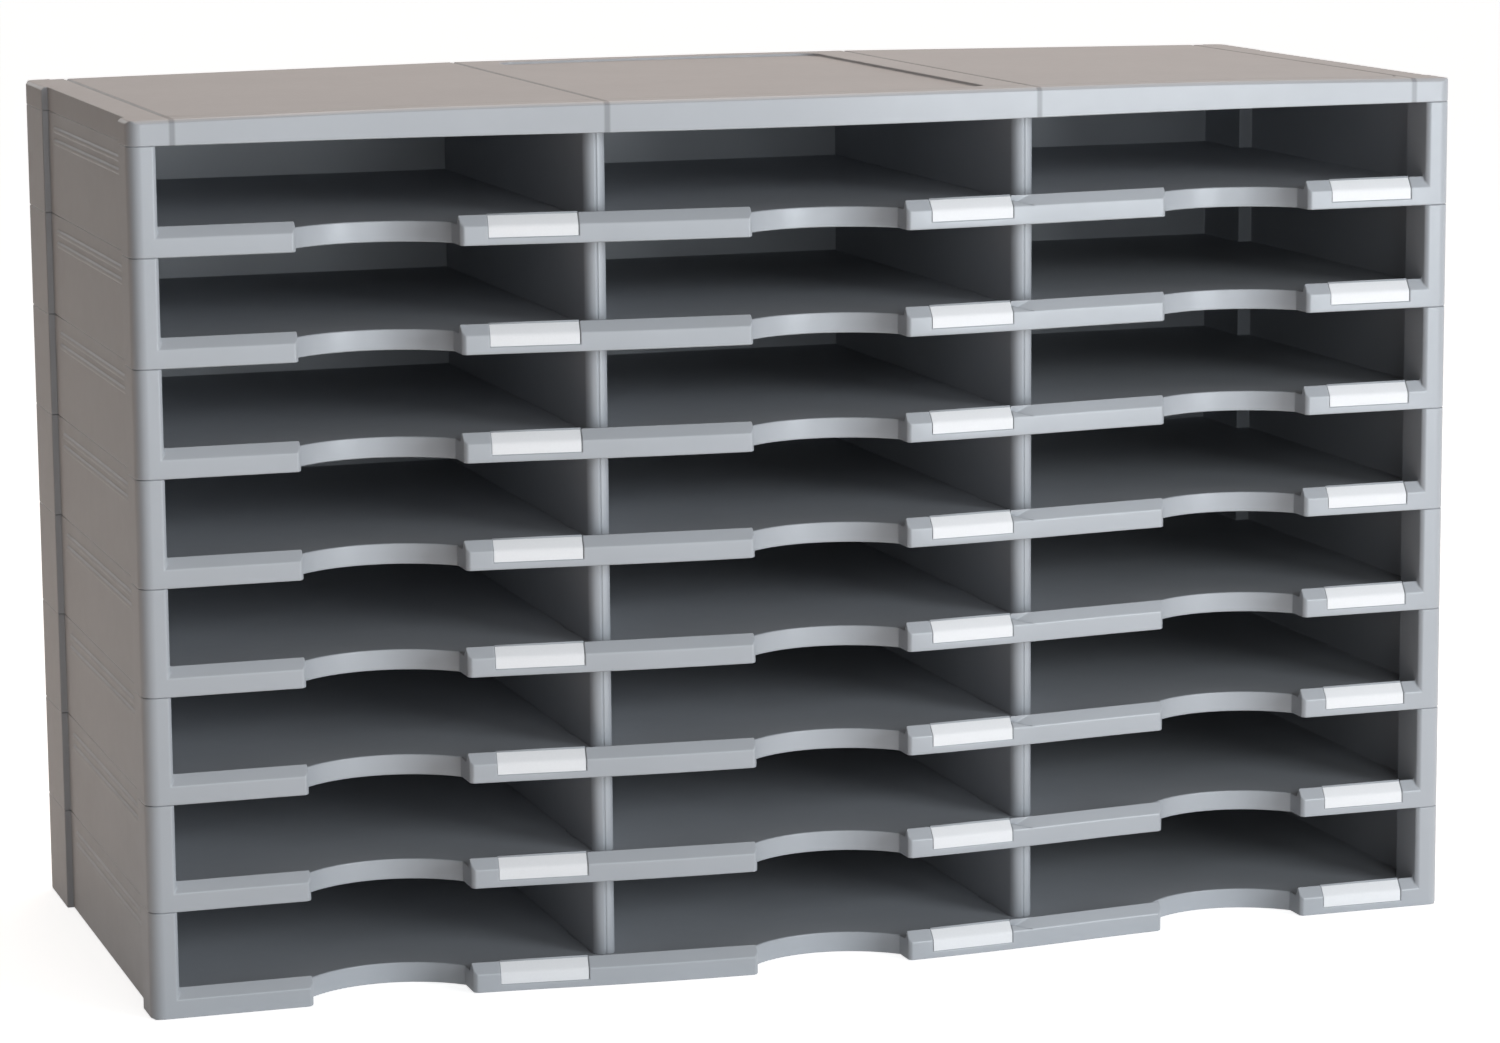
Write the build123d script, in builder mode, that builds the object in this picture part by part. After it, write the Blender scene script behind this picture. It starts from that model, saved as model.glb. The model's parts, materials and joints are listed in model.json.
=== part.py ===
"""Stacking literature sorter: moulded tiers with dividers and label cards under one crowned cover.

Millimetres, +Z up, +X to the right, the open front towards -Y. The origin is the middle of the
footprint on the surface that the sorter stands on.
"""

import os
from math import asin, cos, degrees, radians, sin, sqrt

from build123d import *

os.makedirs("parts", exist_ok=True)

# Overall sizes
overall_width = 798.0
side_depth = 338.0
front_bow = 20.0
flat_front = 89.0
tier_count = 8
tier_pitch = 61.5
column_count = 3

# Corner posts and outer walls of a tier
post_width = 16.0
front_post_depth = 28.0
rear_post_depth = 62.0
post_corner_radius = 8.0
post_inner_chamfer = 2.0
post_wall = 3.0
panel_inset = 4.0
panel_wall = 3.0
peg_height = 6.0
peg_clearance = 0.3
peg_chamfer = 1.2

# Stiffening ribs outside the side panels, measured down from the tier's top
rib_drops = (8.5, 15.8)
rib_height = 3.0
rib_stand = 1.2
rib_front_gap = 8.0
rib_rear_gap = 22.0

# Shelf and front lip
deck_top = 12.0
deck_thickness = 3.5
skirt_wall = 3.0
lip_height = 10.0
lip_slant_depth = 12.0
under_rib_wall = 2.0
under_rib_height = 5.0

# Thumb notch in the lip of each column
notch_width = 92.6
notch_straight = 17.0
notch_depth = 37.0
notch_corner_chamfer = 2.0
notch_skirt_flat = 40.0

# Dividers
divider_thickness = 13.0
divider_setback = 11.0
divider_skin = 2.2
divider_back_gap = 0.3
divider_top_gap = 0.3
nose_groove_width = 0.9
nose_groove_depth = 0.5
tab_length = 20.0
tab_clearance = 0.3
tab_end_distance = 50.0

# Label recess in the lip, and the card that lies in it
label_recess_width = 51.5
label_end_distance = 10.0
label_ledge = 4.3
label_recess_depth = 1.2
label_recess_back = 13.5
label_bend = 5.0
label_pad_margin = 3.0
card_thickness = 0.5
card_clearance = 0.3

# Cover
cover_edge_height = 14.0
cover_crown = 4.0
cover_plate = 4.5
cover_wall = 3.0
cover_edge_bevel = 2.0
cover_border = 24.0
groove_width = 2.0
groove_depth = 1.0
groove_front_gap = 16.0
groove_corner_radius = 14.0
tray_side_gap = 24.0
tray_front_gap = 10.0
tray_back_gap = 14.0
tray_depth = 2.0
tray_corner_radius = 12.0
cover_rib_wall = 6.0
socket_spare = 1.0

# How far cutting shapes reach past what they cut, and how near counts as the same place
cut_reach = 30.0
touch = 0.01

# Places worked out from those sizes
half_width = overall_width / 2
back_y = (side_depth + front_bow) / 2
post_front_y = back_y - side_depth
panel_x = half_width - panel_inset
inner_x = half_width - post_width
post_x = half_width - post_width / 2
back_wall_y = back_y - panel_inset - panel_wall
deck_under = deck_top - deck_thickness
stack_height = tier_count * tier_pitch
column_width = (2 * inner_x - (column_count - 1) * divider_thickness) / column_count
column_pitch = column_width + divider_thickness
column_centres = [(i - (column_count - 1) / 2) * column_pitch for i in range(column_count)]
divider_centres = [(i - column_count / 2 + 1) * column_pitch for i in range(column_count - 1)]
tray_width = column_pitch - 2 * tray_side_gap

# The front is flat beside the posts, then hollow, then full across the middle, on equal radii
bow_half = half_width - flat_front
bow_turn = bow_half / 2
bow_radius = (bow_turn**2 + (front_bow / 2) ** 2) / front_bow


def front_y(x):
    """Depth of the front edge at a place across the width."""
    reach = abs(x)
    if reach >= bow_half:
        return post_front_y
    if reach >= bow_turn:
        return post_front_y - bow_radius + sqrt(bow_radius**2 - (bow_half - reach) ** 2)
    return post_front_y - front_bow + bow_radius - sqrt(bow_radius**2 - x**2)


def front_heading(x):
    """Turn of the front edge from the X axis at a place across the width, in degrees."""
    reach = abs(x)
    if reach >= bow_half:
        return 0.0
    rise = bow_half - reach if reach >= bow_turn else reach
    turn = degrees(asin(rise / bow_radius))
    return turn if x > 0 else -turn


def front_line(end_x, setback=0):
    """The front edge, or a line set back from it, as far as an end either side of the middle."""
    flat_y = post_front_y + setback
    turn_y = front_y(bow_turn) + setback
    Line((-end_x, flat_y), (-bow_half, flat_y))
    TangentArc((-bow_half, flat_y), (-bow_turn, turn_y), tangent=(1, 0))
    ThreePointArc((-bow_turn, turn_y), (0, front_y(0) + setback), (bow_turn, turn_y))
    TangentArc((bow_half, flat_y), (bow_turn, turn_y), tangent=(-1, 0))
    Line((bow_half, flat_y), (end_x, flat_y))


def bowed_outline(end_x, rear_y, setback=0):
    """Closed outline between that line and a straight rear edge."""
    flat_y = post_front_y + setback
    front_line(end_x, setback)
    Polyline((end_x, flat_y), (end_x, rear_y), (-end_x, rear_y), (-end_x, flat_y))


def inside_walls(wall):
    """Plan of the space inside front, side and back walls and between the posts."""
    with BuildSketch() as inside:
        with BuildLine():
            bowed_outline(inner_x, back_wall_y, wall)
        make_face()
        with Locations((0, post_front_y + front_post_depth)):
            Rectangle(
                2 * (panel_x - wall),
                side_depth - front_post_depth - rear_post_depth,
                align=(Align.CENTER, Align.MIN),
            )
    return inside.sketch


def corner_posts():
    """The four post sections, for the open sketch."""
    with Locations((-post_x, post_front_y), (post_x, post_front_y)):
        Rectangle(post_width, front_post_depth, align=(Align.CENTER, Align.MIN))
    with Locations((-post_x, back_y), (post_x, back_y)):
        Rectangle(post_width, rear_post_depth, align=(Align.CENTER, Align.MAX))


def post_places():
    """Middle of each post and its depth, front pair first."""
    front = post_front_y + front_post_depth / 2
    rear = back_y - rear_post_depth / 2
    return [
        (side * post_x, y, depth)
        for y, depth in ((front, front_post_depth), (rear, rear_post_depth))
        for side in (-1, 1)
    ]


def post_corners(plan, reach):
    """Corners of the posts in a plan, at a reach from the middle and at the very front or back."""
    return [
        v
        for v in plan.vertices()
        if abs(abs(v.X) - reach) < touch and min(abs(v.Y - post_front_y), abs(v.Y - back_y)) < touch
    ]


def lip_plane(x):
    """Upright plane across the lip: its x runs in from the front face and its y runs up."""
    turn = radians(front_heading(x))
    return Plane((x, front_y(x), 0), x_dir=(-sin(turn), cos(turn), 0), z_dir=(cos(turn), sin(turn), 0))


label_places = [
    x + column_width / 2 - label_end_distance - label_recess_width / 2 for x in column_centres
]
tab_places = [
    (-(divider_thickness - divider_skin) / 2, post_front_y + divider_setback + tab_end_distance),
    ((divider_thickness - divider_skin) / 2, back_wall_y - tab_end_distance),
]


def recess_line(lift, end_gap):
    """Label recess floor in the lip's section, raised by the lift and short of both ends by the gap."""
    front = label_recess_depth - lift
    top = deck_top - label_recess_depth + lift
    bend = label_bend + lift * (2 - sqrt(2))
    low_end = (front, label_ledge + end_gap)
    high_end = (label_recess_back - end_gap, top)
    Polyline(low_end, (front, top - bend), (front + bend, top), high_end)
    return low_end, high_end


# One tier: shelf with its lip and skirt, four hollow posts, side panels and back wall
with BuildPart() as tier:
    # Shelf slab with the thumb notches
    with BuildSketch() as deck_plan:
        with BuildLine():
            bowed_outline(half_width - post_corner_radius, back_wall_y + panel_wall / 2)
        make_face()
        with Locations((0, post_front_y + front_post_depth / 2)):
            Rectangle(
                2 * panel_x - panel_wall,
                back_wall_y + panel_wall / 2 - post_front_y - front_post_depth / 2,
                align=(Align.CENTER, Align.MIN),
            )
        for x in column_centres:
            mouth = front_y(x)
            with BuildLine():
                Polyline(
                    (x - notch_width / 2, mouth + notch_straight),
                    (x - notch_width / 2, mouth - cut_reach),
                    (x + notch_width / 2, mouth - cut_reach),
                    (x + notch_width / 2, mouth + notch_straight),
                )
                ThreePointArc(
                    (x + notch_width / 2, mouth + notch_straight),
                    (x, mouth + notch_depth),
                    (x - notch_width / 2, mouth + notch_straight),
                )
            make_face(mode=Mode.SUBTRACT)
        notch_mouths = [
            v
            for v in deck_plan.vertices()
            for x in column_centres
            if abs(abs(v.X - x) - notch_width / 2) < touch and v.Y < front_y(v.X) + notch_straight / 2
        ]
        chamfer(notch_mouths, notch_corner_chamfer)
    extrude(amount=deck_top)

    # The lip's top falls away to its front edge
    with BuildLine(mode=Mode.PRIVATE) as lip_path:
        front_line(half_width - post_corner_radius)
    with BuildSketch(lip_plane(-half_width + post_corner_radius)):
        with BuildLine():
            Polyline(
                (0, lip_height),
                (lip_slant_depth, deck_top),
                (lip_slant_depth, cut_reach),
                (-cut_reach, cut_reach),
                (-cut_reach, lip_height),
                close=True,
            )
        make_face()
    sweep(path=lip_path.wires()[0], mode=Mode.SUBTRACT)

    # Underside hollowed to a plate with a skirt, which steps back round each notch
    with BuildSketch():
        add(inside_walls(skirt_wall))
        for x in column_centres:
            skirt_x = notch_width / 2 + skirt_wall
            skirt_y = front_y(x) + skirt_wall
            with BuildLine():
                Polyline(
                    (x - skirt_x, skirt_y - cut_reach),
                    (x - skirt_x, skirt_y + notch_straight),
                    (x - notch_skirt_flat / 2, skirt_y + notch_depth),
                    (x + notch_skirt_flat / 2, skirt_y + notch_depth),
                    (x + skirt_x, skirt_y + notch_straight),
                    (x + skirt_x, skirt_y - cut_reach),
                    close=True,
                )
            make_face(mode=Mode.SUBTRACT)
    extrude(amount=deck_under, mode=Mode.SUBTRACT)
    rib_front_y = post_front_y + notch_depth
    rib_length = back_wall_y - rib_front_y
    for x in column_centres:
        with Locations((x, rib_front_y, deck_under)):
            Box(
                under_rib_wall,
                rib_length,
                under_rib_height,
                align=(Align.CENTER, Align.MIN, Align.MAX),
            )

    # Posts, side panels and back wall
    with BuildSketch() as wall_plan:
        corner_posts()
        with Locations((-panel_x, 0), (panel_x - panel_wall, 0)):
            with Locations((0, post_front_y + front_post_depth / 2)):
                Rectangle(
                    panel_wall,
                    side_depth - (front_post_depth + rear_post_depth) / 2,
                    align=(Align.MIN, Align.MIN),
                )
        with Locations((0, back_wall_y)):
            Rectangle(2 * post_x, panel_wall, align=(Align.CENTER, Align.MIN))
        fillet(post_corners(wall_plan, half_width), post_corner_radius)
        chamfer([v for v in post_corners(wall_plan, inner_x) if v.Y < 0], post_inner_chamfer)
    extrude(amount=tier_pitch)

    # Each post is hollow below and carries a peg that enters the post above
    for x, y, depth in post_places():
        with BuildSketch():
            with Locations((x, y)):
                Rectangle(post_width - 2 * post_wall, depth - 2 * post_wall)
        extrude(amount=tier_pitch - post_wall, mode=Mode.SUBTRACT)
        with BuildSketch(Plane.XY.offset(tier_pitch)):
            with Locations((x, y)):
                Rectangle(
                    post_width - 2 * post_wall - 2 * peg_clearance,
                    depth - 2 * post_wall - 2 * peg_clearance,
                )
        extrude(amount=peg_height)
    chamfer(tier.faces().sort_by(Axis.Z)[-4:].edges(), peg_chamfer)

    # Stiffening ribs on the outside of the side panels
    rib_y0 = post_front_y + front_post_depth + rib_front_gap
    rib_y1 = back_y - rear_post_depth - rib_rear_gap
    for drop in rib_drops:
        with Locations((0, rib_y0, tier_pitch - drop)):
            with Locations((-panel_x, 0, 0), (panel_x, 0, 0)):
                Box(
                    2 * rib_stand,
                    rib_y1 - rib_y0,
                    rib_height,
                    align=(Align.CENTER, Align.MIN, Align.MAX),
                )

    # Label recesses, each in a solid pad behind the lip
    for x in label_places:
        with BuildSketch(lip_plane(x)):
            with Locations((skirt_wall / 2, 0)):
                Rectangle(
                    label_recess_back + label_pad_margin - skirt_wall / 2,
                    deck_under,
                    align=(Align.MIN, Align.MIN),
                )
        extrude(amount=label_recess_width / 2 + label_pad_margin, both=True)
        with BuildSketch(lip_plane(x)):
            with BuildLine():
                low_end, high_end = recess_line(0, 0)
                Polyline(
                    high_end,
                    (label_recess_back, cut_reach),
                    (-cut_reach, cut_reach),
                    (-cut_reach, label_ledge),
                    low_end,
                )
            make_face()
        extrude(amount=label_recess_width / 2, both=True, mode=Mode.SUBTRACT)

    # Slots for the divider tabs
    with BuildSketch(Plane.XY.offset(deck_under)):
        for x in divider_centres:
            for across, y in tab_places:
                with Locations((x + across, y)):
                    Rectangle(divider_skin + 2 * tab_clearance, tab_length + 2 * tab_clearance)
    extrude(amount=deck_thickness, mode=Mode.SUBTRACT)


def make_divider(x):
    """Hollow divider on the shelf, open at its back, with a round grooved nose and tabs below."""
    nose_y = post_front_y + divider_setback
    rear_y = back_wall_y - divider_back_gap
    radius = divider_thickness / 2
    with BuildPart() as divider:
        with BuildSketch(Plane.XY.offset(deck_top)) as skin:
            with Locations((x, nose_y + radius)):
                Circle(radius)
                Rectangle(divider_thickness, rear_y - nose_y - radius, align=(Align.CENTER, Align.MIN))
                Rectangle(
                    divider_thickness - 2 * divider_skin,
                    rear_y - nose_y,
                    align=(Align.CENTER, Align.MIN),
                    mode=Mode.SUBTRACT,
                )
            with Locations((x, nose_y)):
                Rectangle(nose_groove_width, 2 * nose_groove_depth, mode=Mode.SUBTRACT)
        extrude(amount=tier_pitch + deck_under - divider_top_gap - deck_top)
        with BuildSketch(Plane.XY.offset(deck_under)):
            for across, y in tab_places:
                with Locations((x + across, y)):
                    Rectangle(divider_skin, tab_length)
        extrude(amount=deck_thickness)
    return divider.part


def make_card(x):
    """Label card bent over the recess floor, a small clearance off it all round."""
    with BuildPart() as card:
        with BuildSketch(lip_plane(x)):
            with BuildLine():
                inner_ends = recess_line(card_clearance, card_clearance)
                outer_ends = recess_line(card_clearance + card_thickness, card_clearance)
                Line(inner_ends[0], outer_ends[0])
                Line(inner_ends[1], outer_ends[1])
            make_face()
        extrude(amount=label_recess_width / 2 - card_clearance, both=True)
    return card.part


def crown_z(x):
    """Height of the cover's crowned top at a place across the width."""
    radius = (half_width**2 + cover_crown**2) / (2 * cover_crown)
    return cover_edge_height + cover_crown - radius + sqrt(radius**2 - x**2)


def below_crown(drop):
    """Solid under the cover's crowned top, bevelled along both sides and lowered by the drop."""
    end_x = half_width - cover_edge_bevel
    end_z = crown_z(end_x) - drop
    with BuildPart() as body:
        with BuildSketch(Plane.XZ):
            with BuildLine():
                ThreePointArc((-end_x, end_z), (0, crown_z(0) - drop), (end_x, end_z))
                Polyline(
                    (end_x, end_z),
                    (half_width, end_z - cover_edge_bevel),
                    (half_width, -cut_reach),
                    (-half_width, -cut_reach),
                    (-half_width, end_z - cover_edge_bevel),
                    (-end_x, end_z),
                )
            make_face()
        extrude(amount=side_depth, both=True)
    return body.part


def bevel_place(x):
    """Point of the cover's bevelled front edge, seen along the bevel."""
    return x, (front_y(x) - crown_z(x) + cover_edge_bevel) / sqrt(2)


with BuildPart() as cover_hollow:
    with BuildSketch():
        add(inside_walls(cover_wall))
    extrude(amount=cover_edge_height + cover_crown)
    add(below_crown(cover_plate), mode=Mode.INTERSECT)

with BuildPart() as cover_grooves:
    with BuildSketch() as field:
        with BuildLine():
            bowed_outline(half_width - cover_border, back_y + cut_reach, groove_front_gap)
        make_face()
        sides = [v for v in field.vertices() if abs(abs(v.X) - half_width + cover_border) < touch]
        fillet([v for v in sides if v.Y < 0], groove_corner_radius)
        offset(amount=-groove_width, mode=Mode.SUBTRACT)
    with BuildSketch():
        for x in divider_centres:
            with Locations((x, front_y(x) + groove_front_gap)):
                Rectangle(groove_width, side_depth + front_bow, align=(Align.CENTER, Align.MIN))
    extrude(amount=cut_reach)
    add(below_crown(groove_depth), mode=Mode.SUBTRACT)

with BuildPart() as cover_tray:
    tray_front = front_y(0) + groove_front_gap + tray_front_gap
    tray_back = back_y - panel_inset - tray_back_gap
    with BuildSketch():
        with Locations((0, (tray_front + tray_back) / 2)):
            RectangleRounded(tray_width, tray_back - tray_front, tray_corner_radius)
    extrude(amount=cut_reach)
    add(below_crown(tray_depth), mode=Mode.SUBTRACT)

with BuildPart() as cover:
    # Crowned block in the tiers' plan, with its top edge bevelled along the bow
    with BuildSketch() as cover_plan:
        with BuildLine():
            bowed_outline(half_width - post_corner_radius, back_y - panel_inset)
        make_face()
        with Locations((0, post_front_y + front_post_depth / 2)):
            Rectangle(
                2 * panel_x,
                side_depth - (front_post_depth + rear_post_depth) / 2,
                align=(Align.CENTER, Align.MIN),
            )
        corner_posts()
        fillet(post_corners(cover_plan, half_width), post_corner_radius)
    extrude(amount=cover_edge_height + cover_crown)
    add(below_crown(0), mode=Mode.INTERSECT)
    with BuildSketch(Plane((0, 0, 0), x_dir=(1, 0, 0), z_dir=(0, 1, 1))):
        with BuildLine():
            stops = (-half_width, -bow_half, -bow_turn, bow_turn, bow_half, half_width)
            for start, end in zip(stops, stops[1:]):
                ThreePointArc(bevel_place(start), bevel_place((start + end) / 2), bevel_place(end))
            left_end = bevel_place(-half_width)
            right_end = bevel_place(half_width)
            beyond = -side_depth - cut_reach
            Polyline(right_end, (half_width, beyond), (-half_width, beyond), left_end)
        make_face()
    extrude(amount=side_depth, both=True, mode=Mode.SUBTRACT)
    add(cover_hollow.part, mode=Mode.SUBTRACT)

    # Sockets for the top tier's pegs, and ribs that bear on its dividers
    for x, y, depth in post_places():
        with BuildSketch():
            with Locations((x, y)):
                Rectangle(post_width - 2 * post_wall, depth - 2 * post_wall)
        extrude(amount=peg_height + socket_spare, mode=Mode.SUBTRACT)
    for x in divider_centres:
        with BuildSketch(Plane.XY.offset(deck_under)):
            with Locations((x, post_front_y + divider_setback)):
                Rectangle(
                    cover_rib_wall,
                    back_y - panel_inset - post_front_y - divider_setback - cover_wall / 2,
                    align=(Align.CENTER, Align.MIN),
                )
        extrude(amount=cover_edge_height - deck_under)

    # Shallow tray between the dividers' lines, and the grooves that frame the top
    add(cover_grooves.part, mode=Mode.SUBTRACT)
    add(cover_tray.part, mode=Mode.SUBTRACT)

with BuildPart() as top_cover:
    with Locations((0, 0, stack_height)):
        add(cover.part)
top_cover.part.label = "top_cover"
export_step(top_cover.part, "parts/top_cover.step")

for level in range(tier_count):
    base = level * tier_pitch
    with BuildPart() as tier_copy:
        with Locations((0, 0, base)):
            add(tier.part)
    tier_copy.part.label = f"tier_{level + 1}"
    export_step(tier_copy.part, f"parts/{tier_copy.part.label}.step")
    for number, x in enumerate(divider_centres, 1):
        with BuildPart() as divider_copy:
            with Locations((0, 0, base)):
                add(make_divider(x))
        divider_copy.part.label = f"tier_{level + 1}_divider_{number}"
        export_step(divider_copy.part, f"parts/{divider_copy.part.label}.step")
    for number, x in enumerate(label_places, 1):
        with BuildPart() as card_copy:
            with Locations((0, 0, base)):
                add(make_card(x))
        card_copy.part.label = f"tier_{level + 1}_label_{number}"
        export_step(card_copy.part, f"parts/{card_copy.part.label}.step")
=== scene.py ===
import json
from math import asin, cos, radians, sin, sqrt

import bmesh
import bpy
from mathutils import Matrix, Vector


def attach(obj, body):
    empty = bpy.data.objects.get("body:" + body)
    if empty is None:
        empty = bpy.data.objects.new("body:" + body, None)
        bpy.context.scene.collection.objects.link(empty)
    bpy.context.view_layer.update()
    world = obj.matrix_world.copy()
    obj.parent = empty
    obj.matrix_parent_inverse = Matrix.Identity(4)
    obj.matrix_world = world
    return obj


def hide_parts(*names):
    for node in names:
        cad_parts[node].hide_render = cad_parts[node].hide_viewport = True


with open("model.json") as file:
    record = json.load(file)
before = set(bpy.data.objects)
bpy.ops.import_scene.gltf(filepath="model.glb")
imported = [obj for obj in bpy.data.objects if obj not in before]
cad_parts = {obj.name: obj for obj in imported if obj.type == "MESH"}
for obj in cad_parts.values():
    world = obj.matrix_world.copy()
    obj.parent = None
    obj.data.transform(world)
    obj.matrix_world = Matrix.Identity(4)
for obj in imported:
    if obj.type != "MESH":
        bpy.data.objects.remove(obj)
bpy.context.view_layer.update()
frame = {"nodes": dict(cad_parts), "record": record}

nodes = frame["nodes"]
material_slot_of = {part["node"]: part["material_slot"] for part in frame["record"]["subparts"]}

# Sizes of the sorter in metres, as the solids have them
tier_count = 8
tier_pitch = 0.0615
column_count = 3
half_width = 0.399
side_depth = 0.338
front_bow = 0.020
flat_front = 0.089
post_width = 0.016
divider_thickness = 0.013

post_front_y = (front_bow - side_depth) / 2
bow_half = half_width - flat_front
bow_turn = bow_half / 2
bow_radius = (bow_turn**2 + (front_bow / 2) ** 2) / front_bow
inner_width = 2 * (half_width - post_width)
column_width = (inner_width - (column_count - 1) * divider_thickness) / column_count
column_pitch = column_width + divider_thickness

# Lip of the lowest tier, as the solid has it
lip_height = 0.010
shelf_height = 0.012
slant_depth = 0.012
slant_tolerance = 0.0001

# The same lip with the taller rim that the photograph shows
lip_height_shown = 0.0108
rim_height = 0.0174
rim_depth = 0.0050
rim_thickness = 0.0015
rim_foot_depth = 0.0075

# Label recesses, one at the right end of each column
label_recess_width = 0.0515
label_end_distance = 0.010
label_from_middle = column_width / 2 - label_end_distance - label_recess_width / 2
middle_column = (column_count - 1) / 2
label_places = [
    (column - middle_column) * column_pitch + label_from_middle for column in range(column_count)
]

# Section of a card and of the seat behind it: depth behind the lip's front face, and height
card_section = ((0.0005, 0.0043), (0.0005, 0.0105), (0.0046, 0.0164))
backing_section = (
    (0.0012, 0.0044),
    (0.0012, 0.0106),
    (0.0050, 0.0160),
    (0.0051, 0.0174),
    (0.0061, 0.0174),
    (0.0084, 0.0119),
    (0.0084, 0.0100),
    (0.0040, 0.0044),
)
card_clearance = 0.0003
card_half_width = label_recess_width / 2 - card_clearance
card_thickness = 0.0005
card_fold_radius = 0.0012
card_fold_segments = 4

# Grooves along the cover, by distance from the middle plane, and the shade painted into them
side_groove_distance = 0.025
groove_places = (column_pitch / 2, half_width - side_groove_distance)
groove_half_width = 0.001
groove_fade_half_width = 0.0022
# Painted shade: in the grooves the cover's tint is multiplied by this
groove_shade_factor = 0.62

# Rounding of the moulded edges, and what counts as one point, one flat face and a sharp edge
tier_edge_radius = 0.0008
divider_edge_radius = 0.0004
cover_edge_radius = 0.0006
edge_segments = 2
merge_distance = 0.0003
flat_angle = radians(0.5)
sharp_angle = radians(25)


def front_y(x):
    """Depth of the lip's front face at a place across the width."""
    reach = abs(x)
    if reach >= bow_half:
        return post_front_y
    if reach >= bow_turn:
        return post_front_y - bow_radius + sqrt(bow_radius**2 - (bow_half - reach) ** 2)
    return post_front_y - front_bow + bow_radius - sqrt(bow_radius**2 - x**2)


def front_heading(x):
    """Turn of the lip's front face from the X axis, in radians."""
    reach = abs(x)
    if reach >= bow_half:
        return 0.0
    rise = bow_half - reach if reach >= bow_turn else reach
    turn = asin(rise / bow_radius)
    return turn if x > 0 else -turn


def new_object(name, bm):
    """Object at the origin with the shape of a bmesh, which is freed."""
    mesh = bpy.data.meshes.new(name)
    bm.to_mesh(mesh)
    bm.free()
    obj = bpy.data.objects.new(name, mesh)
    bpy.context.scene.collection.objects.link(obj)
    return obj


def shade(obj, material):
    """One material over the whole object, smooth shaded with its large faces kept flat."""
    obj.data.materials.clear()
    obj.data.materials.append(material)
    for face in obj.data.polygons:
        face.use_smooth = True
    even = obj.modifiers.new("even_normals", "WEIGHTED_NORMAL")
    even.mode = "FACE_AREA"


# Plastic: patterns per metre, how strong they are, and which faces count as grained panels
drift_scale = 14.0
drift_detail = 3.0
gloss_scale = 120.0
gloss_change = 0.03
grain_scale = 1400.0
grain_depth = 0.0002
front_grain = 0.05
panel_grain = 0.22
panel_facing_begins = 0.75
panel_facing_full = 0.97
smooth_roughness = 0.32
noise_usual_low = 0.3
noise_usual_high = 0.7

# Paper of the label cards
paper_white = (0.86, 0.87, 0.89)
paper_roughness = 0.65
fibre_scale = 900.0
fibre_detail = 4.0
fibre_dark = (0.88, 0.87, 0.88)
fibre_light = (0.93, 0.92, 0.93)

# Sockets of a Mix node that mixes colours
mix_first_colour = 6
mix_second_colour = 7
mix_result_colour = 2


def plain_material(name, colour, roughness):
    """Principled material of one colour, with its node tree and its surface node."""
    material = bpy.data.materials.new(name)
    material.use_nodes = True
    tree = material.node_tree
    surface = tree.nodes["Principled BSDF"]
    surface.inputs["Base Color"].default_value = (*colour, 1)
    surface.inputs["Roughness"].default_value = roughness
    return material, tree, surface


def object_place(tree):
    """Place on the object, in the object's own coordinates."""
    return tree.nodes.new("ShaderNodeTexCoord").outputs["Object"]


def mixed_tint(tree, factor, dark, light):
    """Colour between two tints by a factor socket."""
    ramp = tree.nodes.new("ShaderNodeValToRGB")
    ramp.color_ramp.elements[0].color = (*dark, 1)
    ramp.color_ramp.elements[1].color = (*light, 1)
    tree.links.new(factor, ramp.inputs["Fac"])
    return ramp.outputs["Color"]


def noise(tree, place, scale, detail=2.0):
    """Noise over the object's own coordinates."""
    node = tree.nodes.new("ShaderNodeTexNoise")
    node.inputs["Scale"].default_value = scale
    node.inputs["Detail"].default_value = detail
    tree.links.new(place, node.inputs["Vector"])
    return node.outputs["Fac"]


def worked_out(tree, operation, first, second=0.0):
    """Result of a calculation with one socket and another socket or a number."""
    node = tree.nodes.new("ShaderNodeMath")
    node.operation = operation
    tree.links.new(first, node.inputs[0])
    if isinstance(second, float):
        node.inputs[1].default_value = second
    else:
        tree.links.new(second, node.inputs[1])
    return node.outputs[0]


def between(tree, value, low, high, at_low, at_high):
    """Socket that goes from one number to another as the value goes from low to high."""
    node = tree.nodes.new("ShaderNodeMapRange")
    tree.links.new(value, node.inputs["Value"])
    node.inputs["From Min"].default_value = low
    node.inputs["From Max"].default_value = high
    node.inputs["To Min"].default_value = at_low
    node.inputs["To Max"].default_value = at_high
    return node.outputs["Result"]


def grained_faces(tree):
    """One on panels that face up, down or sideways, which have a mould grain, and nought on front faces."""
    facing = tree.nodes.new("ShaderNodeSeparateXYZ")
    normal = tree.nodes.new("ShaderNodeNewGeometry").outputs["Normal"]
    tree.links.new(normal, facing.inputs["Vector"])
    sideways = worked_out(tree, "ABSOLUTE", facing.outputs["X"])
    up_or_down = worked_out(tree, "ABSOLUTE", facing.outputs["Z"])
    most = worked_out(tree, "MAXIMUM", sideways, up_or_down)
    return between(tree, most, panel_facing_begins, panel_facing_full, 0.0, 1.0)


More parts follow.
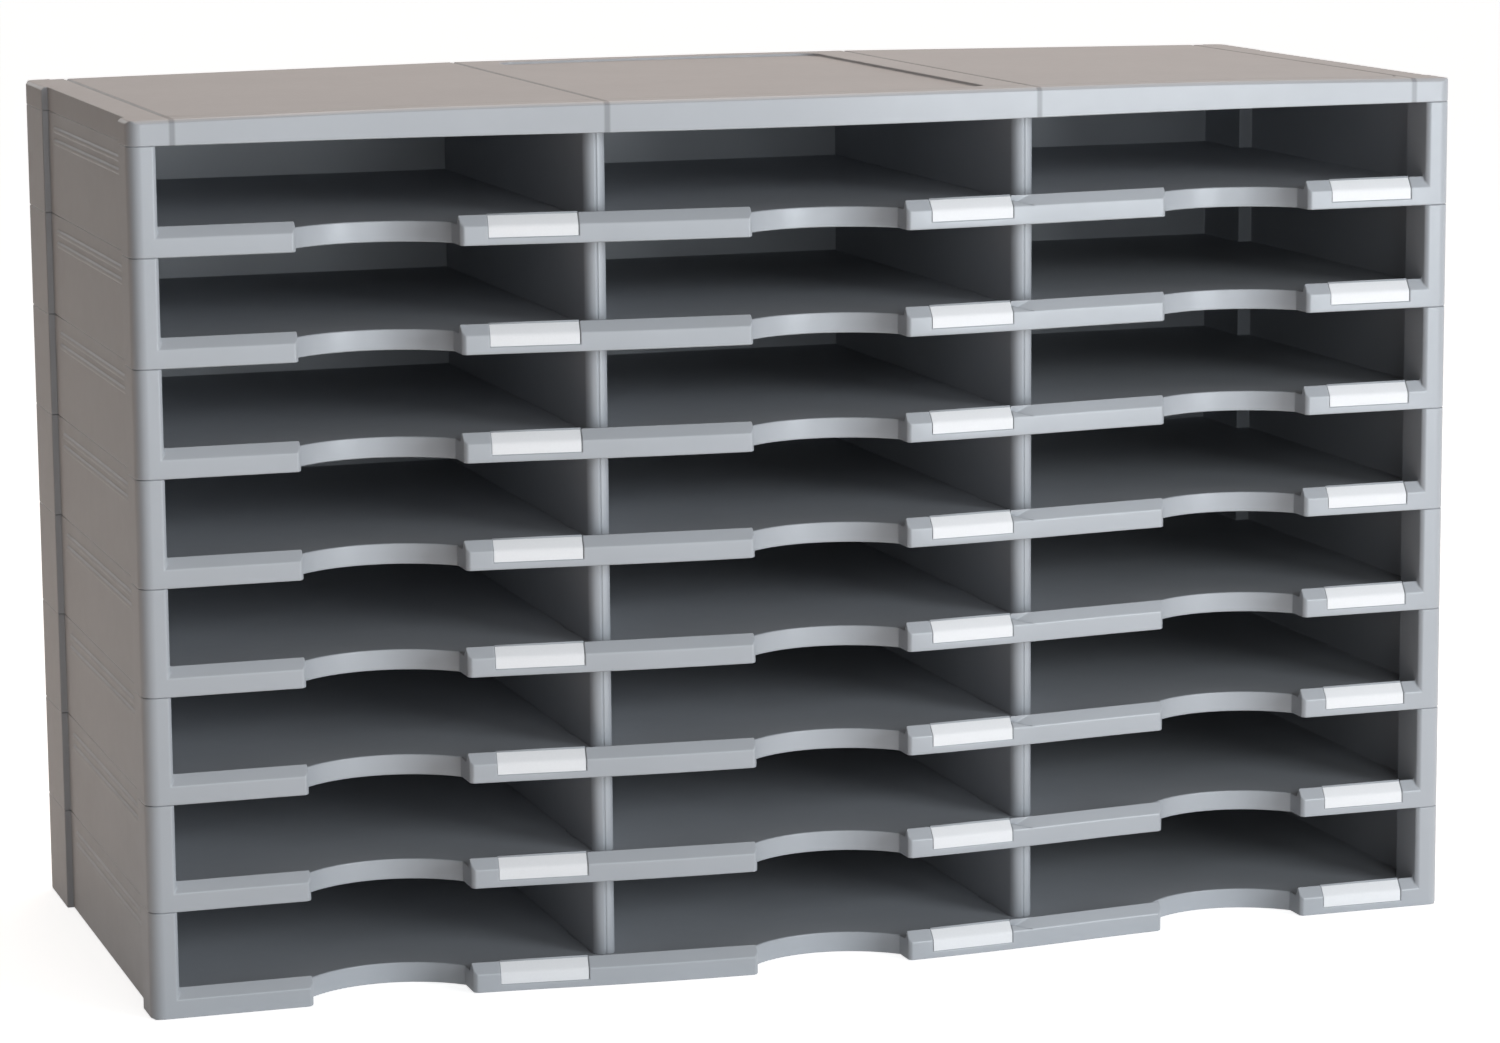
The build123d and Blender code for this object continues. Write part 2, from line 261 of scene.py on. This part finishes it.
def moulded_plastic(name, dark, light, panel_roughness):
    """Satin grey plastic: drifts of tint, uneven gloss, and a fine grain that is coarser on flat panels."""
    material, tree, surface = plain_material(name, light, smooth_roughness)
    place = object_place(tree)
    drift = noise(tree, place, drift_scale, drift_detail)
    tree.links.new(mixed_tint(tree, drift, dark, light), surface.inputs["Base Color"])

    grained = grained_faces(tree)
    satin = between(tree, grained, 0.0, 1.0, smooth_roughness, panel_roughness)
    blotches = noise(tree, place, gloss_scale)
    uneven = between(tree, blotches, noise_usual_low, noise_usual_high, -gloss_change, gloss_change)
    tree.links.new(worked_out(tree, "ADD", satin, uneven), surface.inputs["Roughness"])

    grain = tree.nodes.new("ShaderNodeBump")
    strength = between(tree, grained, 0.0, 1.0, front_grain, panel_grain)
    tree.links.new(strength, grain.inputs["Strength"])
    grain.inputs["Distance"].default_value = grain_depth
    tree.links.new(noise(tree, place, grain_scale), grain.inputs["Height"])
    tree.links.new(grain.outputs["Normal"], surface.inputs["Normal"])
    return material


def paint_groove_shade(material):
    """Darken a moulding's tint along the cover's grooves, as painted shade."""
    tree = material.node_tree
    across = tree.nodes.new("ShaderNodeSeparateXYZ")
    tree.links.new(object_place(tree), across.inputs["Vector"])
    reach = worked_out(tree, "ABSOLUTE", across.outputs["X"])
    clear_of_each = []
    for place in groove_places:
        away = worked_out(tree, "ABSOLUTE", worked_out(tree, "SUBTRACT", reach, place))
        clear_of_each.append(between(tree, away, groove_half_width, groove_fade_half_width, 0.0, 1.0))
    clear = worked_out(tree, "MULTIPLY", *clear_of_each)

    tint = tree.nodes["Principled BSDF"].inputs["Base Color"]
    plain_tint = tint.links[0].from_socket
    mix = tree.nodes.new("ShaderNodeMix")
    mix.data_type = "RGBA"
    mix.blend_type = "MULTIPLY"
    mix.inputs["Factor"].default_value = 1.0
    tree.links.new(plain_tint, mix.inputs[mix_first_colour])
    tree.links.new(between(tree, clear, 0.0, 1.0, groove_shade_factor, 1.0), mix.inputs[mix_second_colour])
    tree.links.new(mix.outputs[mix_result_colour], tint)


def label_paper():
    """White card with a faint fibre mottle."""
    material, tree, surface = plain_material("label_card_white", paper_white, paper_roughness)
    fibre = noise(tree, object_place(tree), fibre_scale, fibre_detail)
    tint = mixed_tint(tree, fibre, fibre_dark, fibre_light)
    tree.links.new(tint, surface.inputs["Base Color"])
    return material


finishes = {
    "tier_plastic": moulded_plastic(
        "tier_plastic_grey", dark=(0.41, 0.425, 0.45), light=(0.46, 0.475, 0.505), panel_roughness=0.6
    ),
    "divider_plastic": moulded_plastic(
        "divider_plastic_grey", dark=(0.415, 0.43, 0.455), light=(0.465, 0.48, 0.51), panel_roughness=0.55
    ),
    "cover_plastic": moulded_plastic(
        "cover_plastic_grey", dark=(0.41, 0.42, 0.445), light=(0.46, 0.47, 0.495), panel_roughness=0.65
    ),
    "label_card": label_paper(),
}
# Painted shade along the cover's grooves, darkening its tint
paint_groove_shade(finishes["cover_plastic"])

for name, node in nodes.items():
    for material_slot in node.material_slots:
        material_slot.material = finishes[material_slot_of[name]]


# Mouldings with their edges rounded as the mould leaves them
def bevel(bm, edges, width, segments):
    """Bevel edges of a bmesh."""
    bmesh.ops.bevel(
        bm,
        geom=edges,
        offset=width,
        offset_type="OFFSET",
        affect="EDGES",
        segments=segments,
        profile=0.5,
        material=-1,
    )


def flat_copy(node_name):
    """Bmesh copy of a solid's mesh with its flat faces joined."""
    bm = bmesh.new()
    bm.from_mesh(nodes[node_name].data)
    bmesh.ops.remove_doubles(bm, verts=bm.verts, dist=merge_distance)
    bmesh.ops.dissolve_limit(bm, angle_limit=flat_angle, verts=bm.verts, edges=bm.edges)
    return bm


def lip_depth(vert):
    """Depth of a point of the lowest tier behind the lip's front face."""
    return vert.co.y - front_y(vert.co.x)


def on_shelf(vert):
    """Whether a point of the lowest tier is at the height of the shelf."""
    return abs(vert.co.z - shelf_height) < slant_tolerance


def on_slant(vert):
    """Whether a point of the lowest tier is in the plane of the lip's slanted top."""
    slope = (shelf_height - lip_height) / slant_depth
    return abs(vert.co.z - lip_height - slope * lip_depth(vert)) < slant_tolerance


def raise_rim(bm):
    """Raise the slanted top of the lowest tier's lip to a rim, steeper and taller than the solid's."""
    slant_back = [
        v for v in bm.verts if on_shelf(v) and abs(lip_depth(v) - slant_depth) < merge_distance
    ]
    back_edges = [e for e in bm.edges if all(v in slant_back for v in e.verts)]
    bevel(bm, back_edges, rim_thickness, segments=1)
    for vert in bm.verts:
        depth = lip_depth(vert)
        inwards = Matrix.Rotation(front_heading(vert.co.x), 3, "Z") @ Vector((0, 1, 0))
        if on_slant(vert) and -slant_tolerance < depth < slant_depth - rim_thickness / 2:
            depth_shown = min(depth, rim_depth)
            vert.co += (depth_shown - depth) * inwards
            vert.co.z = lip_height_shown + (rim_height - lip_height_shown) * depth_shown / rim_depth
        elif on_shelf(vert) and abs(depth - slant_depth - rim_thickness) < merge_distance:
            vert.co += (rim_foot_depth - depth) * inwards
    bm.normal_update()


def place_on_lip(bm, x, verts):
    """Move points from the lip's own axes to a place along the lowest tier's front."""
    place = Matrix.Translation((x, front_y(x), 0)) @ Matrix.Rotation(front_heading(x), 4, "Z")
    bmesh.ops.transform(bm, verts=verts, matrix=place)


def add_label_backing(bm, x):
    """Add the sloped seat and rim behind a label card to the lowest tier's moulding."""
    points = [bm.verts.new((-label_recess_width / 2, depth, height)) for depth, height in backing_section]
    end = bm.faces.new(points)
    pulled = bmesh.ops.extrude_face_region(bm, geom=[end], use_keep_orig=True)
    moved = [v for v in pulled["geom"] if isinstance(v, bmesh.types.BMVert)]
    bmesh.ops.translate(bm, verts=moved, vec=(label_recess_width, 0, 0))
    place_on_lip(bm, x, points + moved)
    faces = {face for vert in points + moved for face in vert.link_faces}
    bmesh.ops.recalc_face_normals(bm, faces=list(faces))


def round_edges(bm, radius):
    """Round the sharp edges of a moulding."""
    sharp = [e for e in bm.edges if e.is_manifold and e.calc_face_angle() > sharp_angle]
    bevel(bm, sharp, radius, edge_segments)


def moulding(node_name, body, bm):
    """Piece that shows a moulding in place of its solid."""
    slot_name = material_slot_of[node_name]
    piece = new_object(f"{node_name}_moulding", bm)
    shade(piece, finishes[slot_name])
    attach(piece, body)
    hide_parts(node_name)


def stacked_mouldings(lowest, shape):
    """The moulding of one of the lowest tier's nodes, and its copies in the tiers above."""
    for level in range(tier_count):
        bm = shape.copy()
        bmesh.ops.translate(bm, verts=bm.verts, vec=(0, 0, level * tier_pitch))
        tier = f"tier_{level + 1}"
        moulding(lowest.replace("tier_1", tier), f"{tier}_body", bm)
    shape.free()


tier_shape = flat_copy("tier_1")
raise_rim(tier_shape)
round_edges(tier_shape, tier_edge_radius)
for label_x in label_places:
    add_label_backing(tier_shape, label_x)
stacked_mouldings("tier_1", tier_shape)

for divider in ("tier_1_divider_1", "tier_1_divider_2"):
    divider_shape = flat_copy(divider)
    round_edges(divider_shape, divider_edge_radius)
    stacked_mouldings(divider, divider_shape)

cover_shape = flat_copy("top_cover")
round_edges(cover_shape, cover_edge_radius)
moulding("top_cover", "cover_body", cover_shape)


# Label cards, folded over the edge of the lip
def card_mesh(x, base):
    """Card in a bmesh: a strip folded over the lip, its fold rounded, then given its thickness."""
    bm = bmesh.new()
    points = [bm.verts.new((-card_half_width, depth, height)) for depth, height in card_section]
    edges = [bm.edges.new(pair) for pair in zip(points, points[1:])]
    pulled = bmesh.ops.extrude_edge_only(bm, edges=edges)
    moved = [v for v in pulled["geom"] if isinstance(v, bmesh.types.BMVert)]
    bmesh.ops.translate(bm, verts=moved, vec=(2 * card_half_width, 0, 0))
    folds = [e for e in bm.edges if len(e.link_faces) == 2]
    bevel(bm, folds, card_fold_radius, card_fold_segments)
    bmesh.ops.recalc_face_normals(bm, faces=bm.faces)
    if sum(f.normal.z for f in bm.faces) < 0:
        bmesh.ops.reverse_faces(bm, faces=bm.faces)
    bmesh.ops.solidify(bm, geom=bm.faces[:], thickness=card_thickness)
    place_on_lip(bm, x, bm.verts)
    bmesh.ops.translate(bm, verts=bm.verts, vec=(0, 0, base))
    return bm


for level in range(tier_count):
    for number, label_x in enumerate(label_places, 1):
        label = f"tier_{level + 1}_label_{number}"
        card = new_object(f"{label}_card", card_mesh(label_x, level * tier_pitch))
        shade(card, finishes["label_card"])
        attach(card, f"{label}_body")
        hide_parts(label)


# Floor, and a board beside the sorter that the camera doesn't see
floor_half_size = 12.0
floor_drop = 0.0005
floor_white = (0.86, 0.86, 0.86)
floor_roughness = 0.8
floor_glow = 0.8
board_half_size = 1.5
board_place = (-1.5, 0.2, 1.5)
board_brown = (0.06, 0.052, 0.045)
board_roughness = 0.9

# Light
white = (1.0, 1.0, 1.0)
cool_white = (0.88, 0.95, 1.0)
warm_white = (1.0, 0.80, 0.66)
amber = (1.0, 0.70, 0.50)
surround_tint = (1.0, 0.92, 0.85)
surround_strength = 0.14
sorter_middle = (0, 0, 0.25)
left_side_foot = (-0.4, 0, 0.1)

# Camera, fitted to the seams and edges that the photograph shows; lens and sensor in millimetres
camera_place = Vector((-0.8732, -2.7224, 0.7138))
camera_yaw = radians(17.934)
camera_pitch = radians(9.477)
camera_roll = radians(-0.46)
camera_lens = 113.78
camera_sensor = 36.0
camera_far_limit = 50.0


def seen_directly(tree):
    """One for what the camera sees, straight or by gloss or glass, and nought for the light it sheds."""
    path = tree.nodes.new("ShaderNodeLightPath")
    seen = path.outputs["Is Camera Ray"]
    for other in ("Is Glossy Ray", "Is Transmission Ray"):
        seen = worked_out(tree, "MAXIMUM", seen, path.outputs[other])
    return seen


def pale_floor():
    """Wide pale floor, shown white to the camera apart from the shadow on it."""
    bm = bmesh.new()
    bmesh.ops.create_grid(bm, x_segments=1, y_segments=1, size=floor_half_size)
    bmesh.ops.translate(bm, verts=bm.verts, vec=(0, 0, -floor_drop))
    floor = new_object("pale_floor", bm)
    material, tree, surface = plain_material("pale_floor_white", floor_white, floor_roughness)
    glow = tree.nodes.new("ShaderNodeEmission")
    glow.inputs["Color"].default_value = (*white, 1)
    tree.links.new(worked_out(tree, "MULTIPLY", seen_directly(tree), floor_glow), glow.inputs["Strength"])
    both = tree.nodes.new("ShaderNodeAddShader")
    tree.links.new(surface.outputs[0], both.inputs[0])
    tree.links.new(glow.outputs[0], both.inputs[1])
    tree.links.new(both.outputs[0], tree.nodes["Material Output"].inputs["Surface"])
    shade(floor, material)


def dark_board():
    """Dull brown board that keeps light off the left side; the camera doesn't see it."""
    bm = bmesh.new()
    bmesh.ops.create_grid(bm, x_segments=1, y_segments=1, size=board_half_size)
    upright = Matrix.Rotation(radians(90), 4, "Y")
    bmesh.ops.transform(bm, verts=bm.verts, matrix=Matrix.Translation(board_place) @ upright)
    board = new_object("dark_board", bm)
    shade(board, plain_material("dark_board_brown", board_brown, board_roughness)[0])
    board.visible_camera = False


def surroundings():
    """World that the camera sees as white and that sheds a faint warm light."""
    world = bpy.data.worlds.new("studio_world")
    bpy.context.scene.world = world
    world.use_nodes = True
    tree = world.node_tree
    shed = tree.nodes["Background"]
    shed.inputs["Color"].default_value = (*surround_tint, 1)
    shed.inputs["Strength"].default_value = surround_strength
    shown = tree.nodes.new("ShaderNodeBackground")
    shown.inputs["Color"].default_value = (*white, 1)
    shown.inputs["Strength"].default_value = 1.0
    mix = tree.nodes.new("ShaderNodeMixShader")
    tree.links.new(seen_directly(tree), mix.inputs["Fac"])
    tree.links.new(shed.outputs[0], mix.inputs[1])
    tree.links.new(shown.outputs[0], mix.inputs[2])
    tree.links.new(mix.outputs[0], tree.nodes["World Output"].inputs["Surface"])


def area_light(name, place, aim, size, power, colour):
    """Square soft light turned towards a point."""
    data = bpy.data.lights.new(name, "AREA")
    data.shape = "SQUARE"
    data.size = size
    data.energy = power
    data.color = colour
    lamp = bpy.data.objects.new(name, data)
    lamp.location = place
    lamp.rotation_euler = (Vector(aim) - Vector(place)).to_track_quat("-Z", "Y").to_euler()
    bpy.context.scene.collection.objects.link(lamp)


def studio():
    """Floor, board and surroundings, with cool light on the front and warm light above and at the left."""
    pale_floor()
    dark_board()
    surroundings()
    area_light(
        "front_right_light",
        place=(1.75, -2.7, 0.75),
        aim=sorter_middle,
        size=1.4,
        power=54,
        colour=cool_white,
    )
    area_light(
        "front_light",
        place=(0.05, -3.3, 0.85),
        aim=sorter_middle,
        size=1.4,
        power=24,
        colour=cool_white,
    )
    area_light(
        "top_light",
        place=(0.4, 0.6, 2.8),
        aim=sorter_middle,
        size=1.6,
        power=35,
        colour=warm_white,
    )
    area_light(
        "low_left_light",
        place=(-1.3, 0.6, 0.15),
        aim=left_side_foot,
        size=0.5,
        power=1.2,
        colour=amber,
    )


def camera():
    """Camera at the photograph's place and angle."""
    level_ahead = Vector((sin(camera_yaw), cos(camera_yaw), 0))
    forward = cos(camera_pitch) * level_ahead - Vector((0, 0, sin(camera_pitch)))
    level_right = Vector((cos(camera_yaw), -sin(camera_yaw), 0))
    level_up = level_right.cross(forward)
    right = cos(camera_roll) * level_right + sin(camera_roll) * level_up
    up = cos(camera_roll) * level_up - sin(camera_roll) * level_right
    data = bpy.data.cameras.new("photo_camera")
    data.sensor_width = camera_sensor
    data.lens = camera_lens
    data.clip_end = camera_far_limit
    view = bpy.data.objects.new("photo_camera", data)
    turn = Matrix((right, up, -forward)).transposed().to_4x4()
    view.matrix_world = Matrix.Translation(camera_place) @ turn
    bpy.context.scene.collection.objects.link(view)
    bpy.context.scene.camera = view


studio()
camera()
bpy.context.scene.view_settings.view_transform = "Standard"
